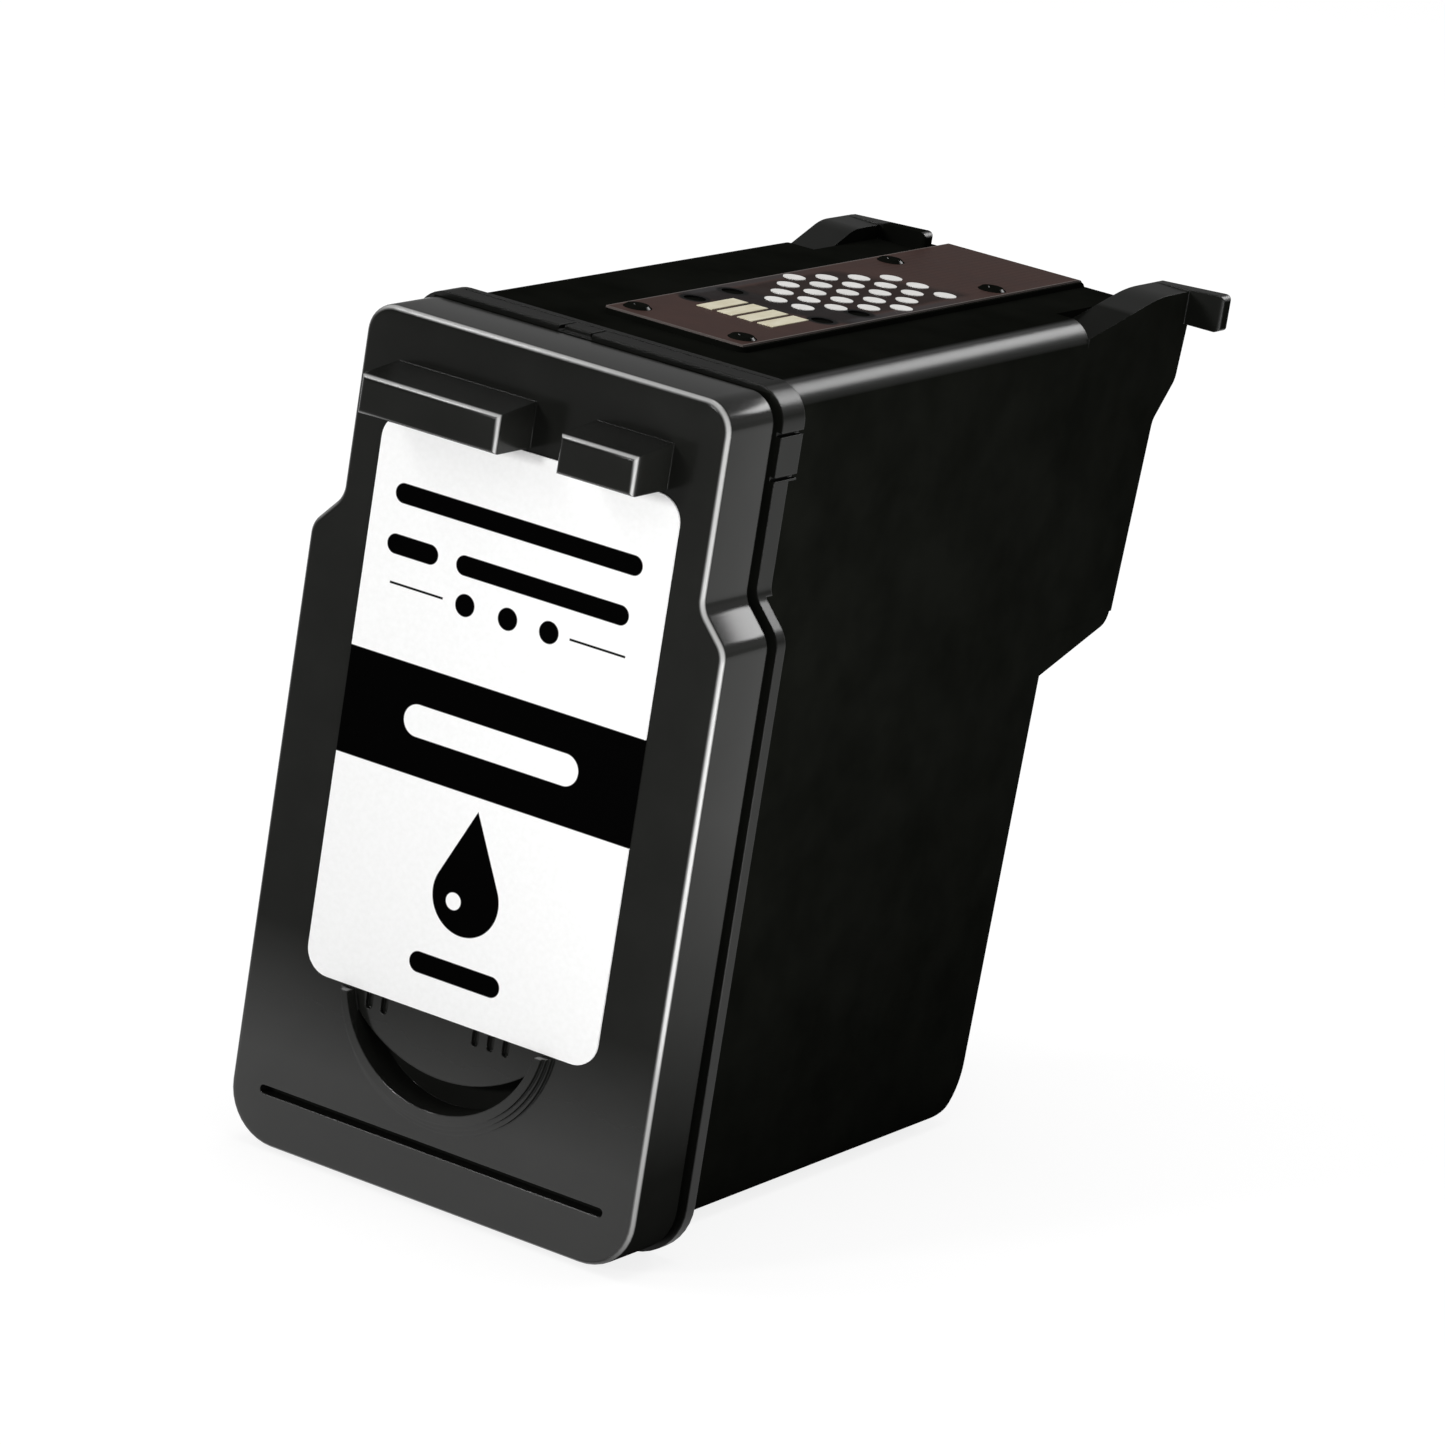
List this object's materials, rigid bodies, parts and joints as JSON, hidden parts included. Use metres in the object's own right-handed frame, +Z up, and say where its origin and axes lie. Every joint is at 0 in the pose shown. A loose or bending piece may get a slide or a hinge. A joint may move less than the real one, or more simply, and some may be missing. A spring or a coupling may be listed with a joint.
{
  "type": "inkjet ink cartridge",
  "caption": "Black inkjet ink cartridge with a built-in print head: moulded tank, welded front cover with latch blocks and label, wiring tape with contacts, hooks and nozzle chip.",
  "frame": {"origin": "centre of the overall box, level with the rim that the cartridge stands on", "axes": "+Z up from the underside to the contact side, -Y towards the labelled cover, +Y towards the nozzle face, +X to the right when facing the label"},
  "size_m": [0.0368, 0.075, 0.0662],
  "materials": {
    "tank": "satin",
    "cover": "satin",
    "label": "smooth",
    "absorber": "fibrous",
    "filter": "woven",
    "tape": "satin",
    "round_contact": "satin",
    "bar_contact": "satin",
    "chip": "polished",
    "nozzle_layer": "smooth",
    "sealant": "smooth"
  },
  "bodies": {
    "root": {"tank_body": "tank", "front_cover": "cover", "cover_label": "label", "ink_absorber": "absorber", "outlet_filter": "filter", "wiring_tape": "tape", "round_contacts": "round_contact", "bar_contacts": "bar_contact", "nozzle_chip": "chip", "nozzle_plate": "nozzle_layer", "lead_sealant": "sealant"}
  },
  "joints": []
}
